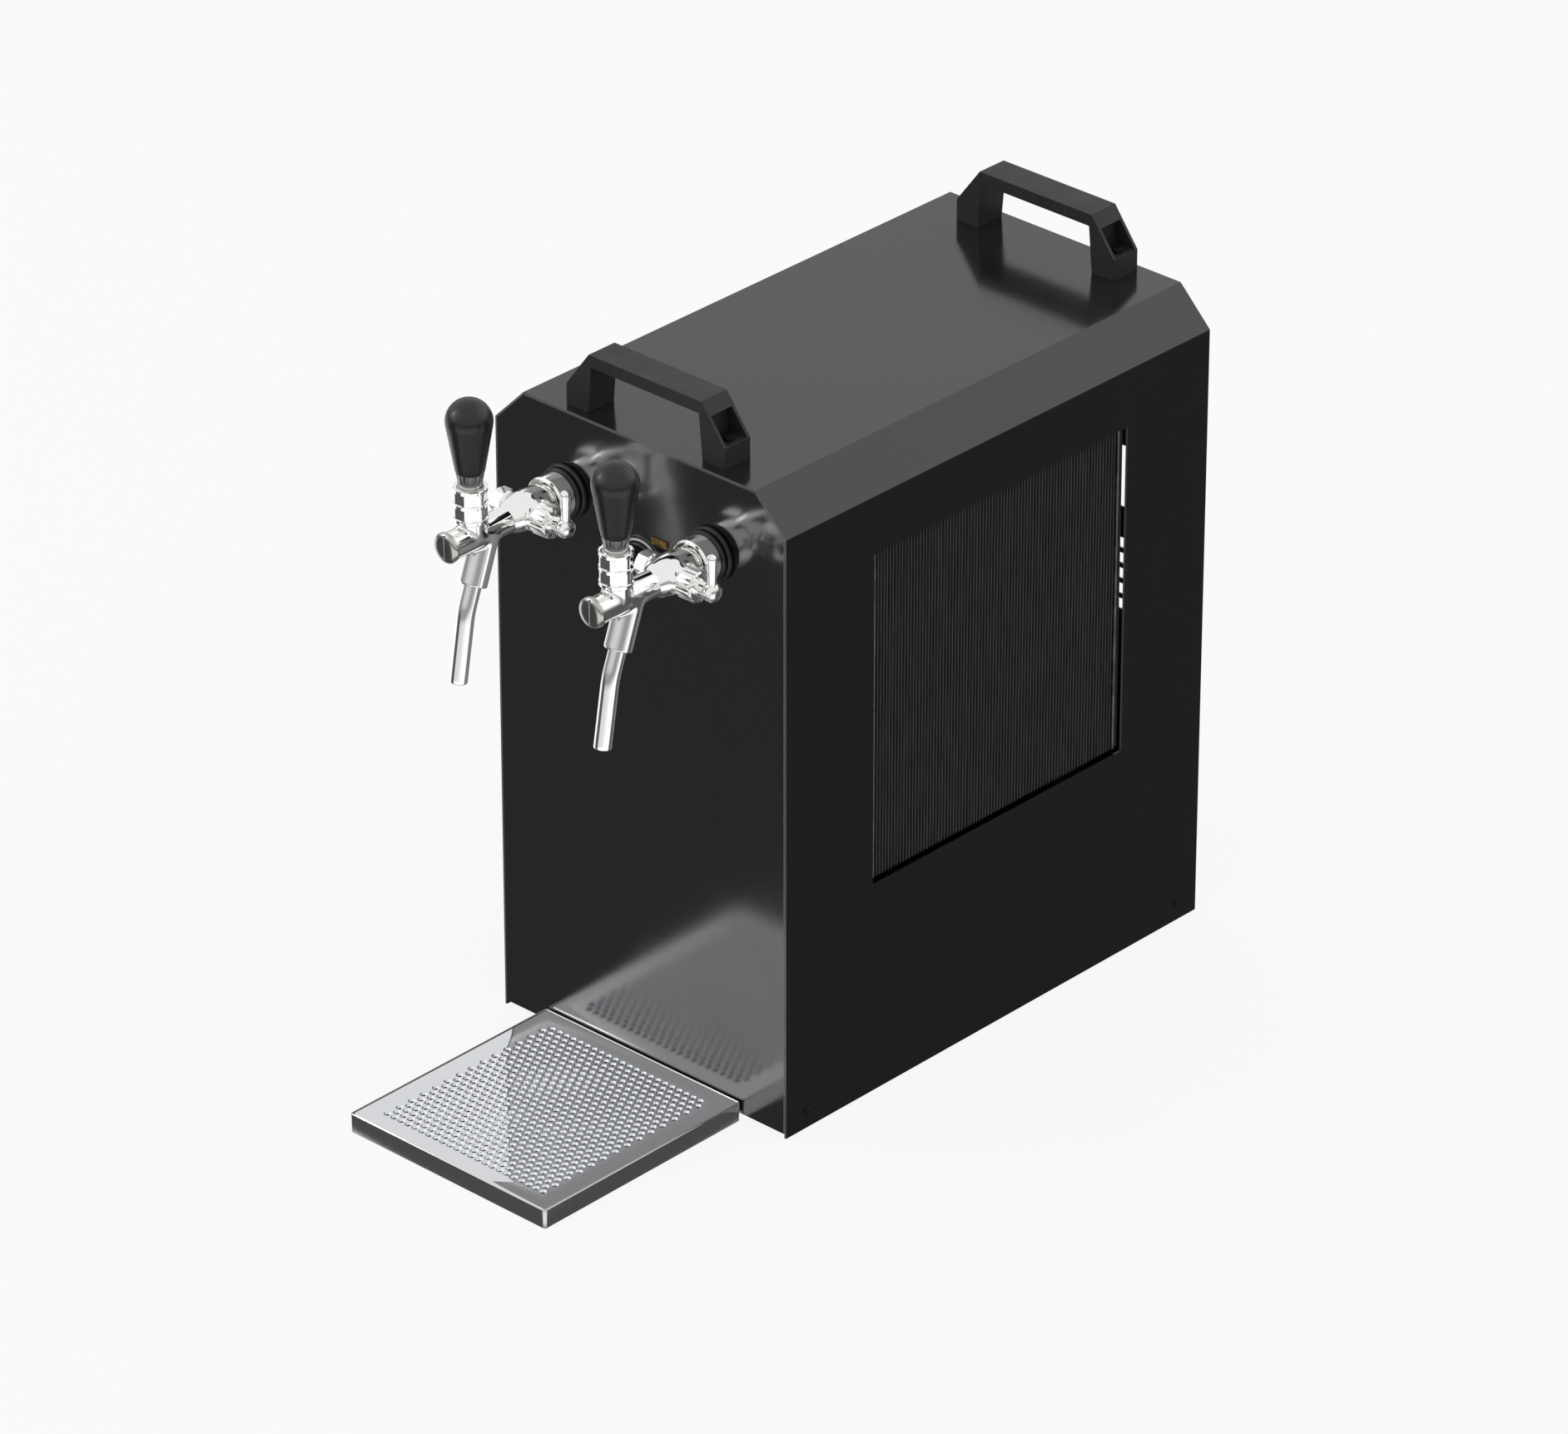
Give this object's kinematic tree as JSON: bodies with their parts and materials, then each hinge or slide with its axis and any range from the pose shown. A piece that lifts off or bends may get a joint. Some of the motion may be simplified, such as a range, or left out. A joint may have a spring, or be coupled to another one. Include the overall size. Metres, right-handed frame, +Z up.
{
  "type": "beer cooler",
  "caption": "Box-shaped dry beer cooler with two lever taps with flow control, a perforated drip tray, carrying handles and a finned condenser behind a side window.",
  "frame": {"origin": "bottom centre of the bounding box, on the surface that the feet stand on", "axes": "+Z up, the taps and the drip tray face -Y, +X is the right side as seen from the front"},
  "size_m": [0.2582, 0.6126, 0.508],
  "materials": {
    "cover_paint": "gloss powder coat",
    "front_gloss": "gloss",
    "back_steel": "satin powder coat",
    "zinc_steel": "zinc plated",
    "screw_steel": "bright",
    "screw_black": "black oxide",
    "black_rubber": "matt",
    "handle_plastic": "satin",
    "fin_aluminium": "black coated",
    "shroud_steel": "satin",
    "motor_paint": "satin",
    "fan_plastic": "matt",
    "compressor_paint": "satin",
    "foam": "matt",
    "block_aluminium": "cast",
    "copper": "drawn copper",
    "beer_steel": "stainless",
    "body_plastic": "matt",
    "black_plastic": "satin",
    "white_plastic": "gloss",
    "amber_lens": "translucent",
    "collet_plastic": "satin",
    "tray_steel": "polished",
    "grid_steel": "polished",
    "chrome": "polished",
    "plunger_brass": "turned",
    "ferrule_steel": "knurled",
    "knob_plastic": "gloss"
  },
  "bodies": {
    "case": {"base_pan": "zinc_steel", "rubber_feet": "black_rubber", "wrap_cover": "cover_paint", "front_panel": "front_gloss", "back_panel": "back_steel", "cover_screws": "screw_black", "front_handle": "handle_plastic", "rear_handle": "handle_plastic", "handle_screws": "screw_steel", "condenser_core": "fin_aluminium", "condenser_end_plates": "zinc_steel", "fan_shroud": "shroud_steel", "fan_ring": "shroud_steel", "shroud_legs": "shroud_steel", "fan_motor": "motor_paint", "compressor": "compressor_paint", "compressor_mounts": "black_rubber", "insulation_jacket": "foam", "cooling_block": "block_aluminium", "refrigerant_pipes": "copper", "filter_drier": "copper", "beer_pipes": "beer_steel", "thermostat_body": "body_plastic", "thermostat_bezel": "black_plastic", "dial_ring": "white_plastic", "pilot_lamp": "amber_lens", "power_inlet": "black_plastic", "switch_body": "black_plastic", "beer_inlets": "black_plastic", "tap_shanks": "beer_steel", "shank_nuts": "beer_steel", "tap_collars": "black_plastic", "coupling_nuts": "chrome", "left_tap_body": "chrome", "right_tap_body": "chrome", "front_plugs": "chrome", "blind_plugs": "chrome", "flow_glands": "chrome", "lever_collars": "chrome", "left_spout": "chrome", "right_spout": "chrome"},
    "tray": {"drip_tray": "tray_steel"},
    "grid": {"drip_grid": "grid_steel"},
    "fan": {"fan_rotor": "fan_plastic"},
    "dial": {"thermostat_knob": "black_plastic"},
    "rocker": {"switch_rocker": "black_plastic"},
    "left_collet": {"left_inlet_collet": "collet_plastic"},
    "right_collet": {"right_inlet_collet": "collet_plastic"},
    "left_valve": {"left_plunger": "plunger_brass"},
    "right_valve": {"right_plunger": "plunger_brass"},
    "left_handle": {"left_lever": "beer_steel", "left_ferrule": "ferrule_steel", "left_lever_knob": "knob_plastic"},
    "right_handle": {"right_lever": "beer_steel", "right_ferrule": "ferrule_steel", "right_lever_knob": "knob_plastic"},
    "left_flow": {"left_flow_spindle": "chrome"},
    "right_flow": {"right_flow_spindle": "chrome"}
  },
  "joints": [
    {"name": "tray_pull", "type": "slide", "parent": "case", "child": "tray", "axis": [0, -1, 0], "range_m": [0, 0.12]},
    {"name": "grid_lift", "type": "slide", "parent": "tray", "child": "grid", "axis": [0, 0, 1], "range_m": [0, 0.03]},
    {"name": "fan_spin", "type": "hinge", "parent": "case", "child": "fan", "pos_m": [0.0837, 0.081, 0.281], "axis": [1, 0, 0], "continuous": true},
    {"name": "dial_turn", "type": "hinge", "parent": "case", "child": "dial", "pos_m": [0.0025, -0.12225, 0.3793], "axis": [0, -1, 0], "range_deg": [-135, 135]},
    {"name": "rocker_tip", "type": "hinge", "parent": "case", "child": "rocker", "pos_m": [-0.038, 0.27975, 0.238], "axis": [1, 0, 0], "range_deg": [0, 16]},
    {"name": "left_collet_press", "type": "slide", "parent": "case", "child": "left_collet", "axis": [0, -1, 0], "range_m": [0, 0.0012], "stiffness_N_per_m": 400},
    {"name": "right_collet_press", "type": "slide", "parent": "case", "child": "right_collet", "axis": [0, -1, 0], "range_m": [0, 0.0012], "stiffness_N_per_m": 400},
    {"name": "left_lever_tilt", "type": "hinge", "parent": "case", "child": "left_handle", "pos_m": [-0.0638, -0.20925, 0.443], "axis": [1, 0, 0], "range_deg": [-10, 14]},
    {"name": "left_valve_slide", "type": "slide", "parent": "case", "child": "left_valve", "axis": [0, 1, 0], "range_m": [-0.0061, 0.0085]},
    {"name": "left_flow_turn", "type": "hinge", "parent": "case", "child": "left_flow", "pos_m": [-0.0338, -0.16075, 0.4085], "axis": [1, 0, 0], "range_deg": [-60, 60]},
    {"name": "right_lever_tilt", "type": "hinge", "parent": "case", "child": "right_handle", "pos_m": [0.0638, -0.20925, 0.443], "axis": [1, 0, 0], "range_deg": [-10, 14]},
    {"name": "right_valve_slide", "type": "slide", "parent": "case", "child": "right_valve", "axis": [0, 1, 0], "range_m": [-0.0061, 0.0085]},
    {"name": "right_flow_turn", "type": "hinge", "parent": "case", "child": "right_flow", "pos_m": [0.0938, -0.16075, 0.4085], "axis": [1, 0, 0], "range_deg": [-60, 60]}
  ],
  "couplings": [
    {"joint": "left_valve_slide", "follows": "left_lever_tilt", "m_per_rad": 0.0325},
    {"joint": "right_valve_slide", "follows": "right_lever_tilt", "m_per_rad": 0.0325}
  ]
}
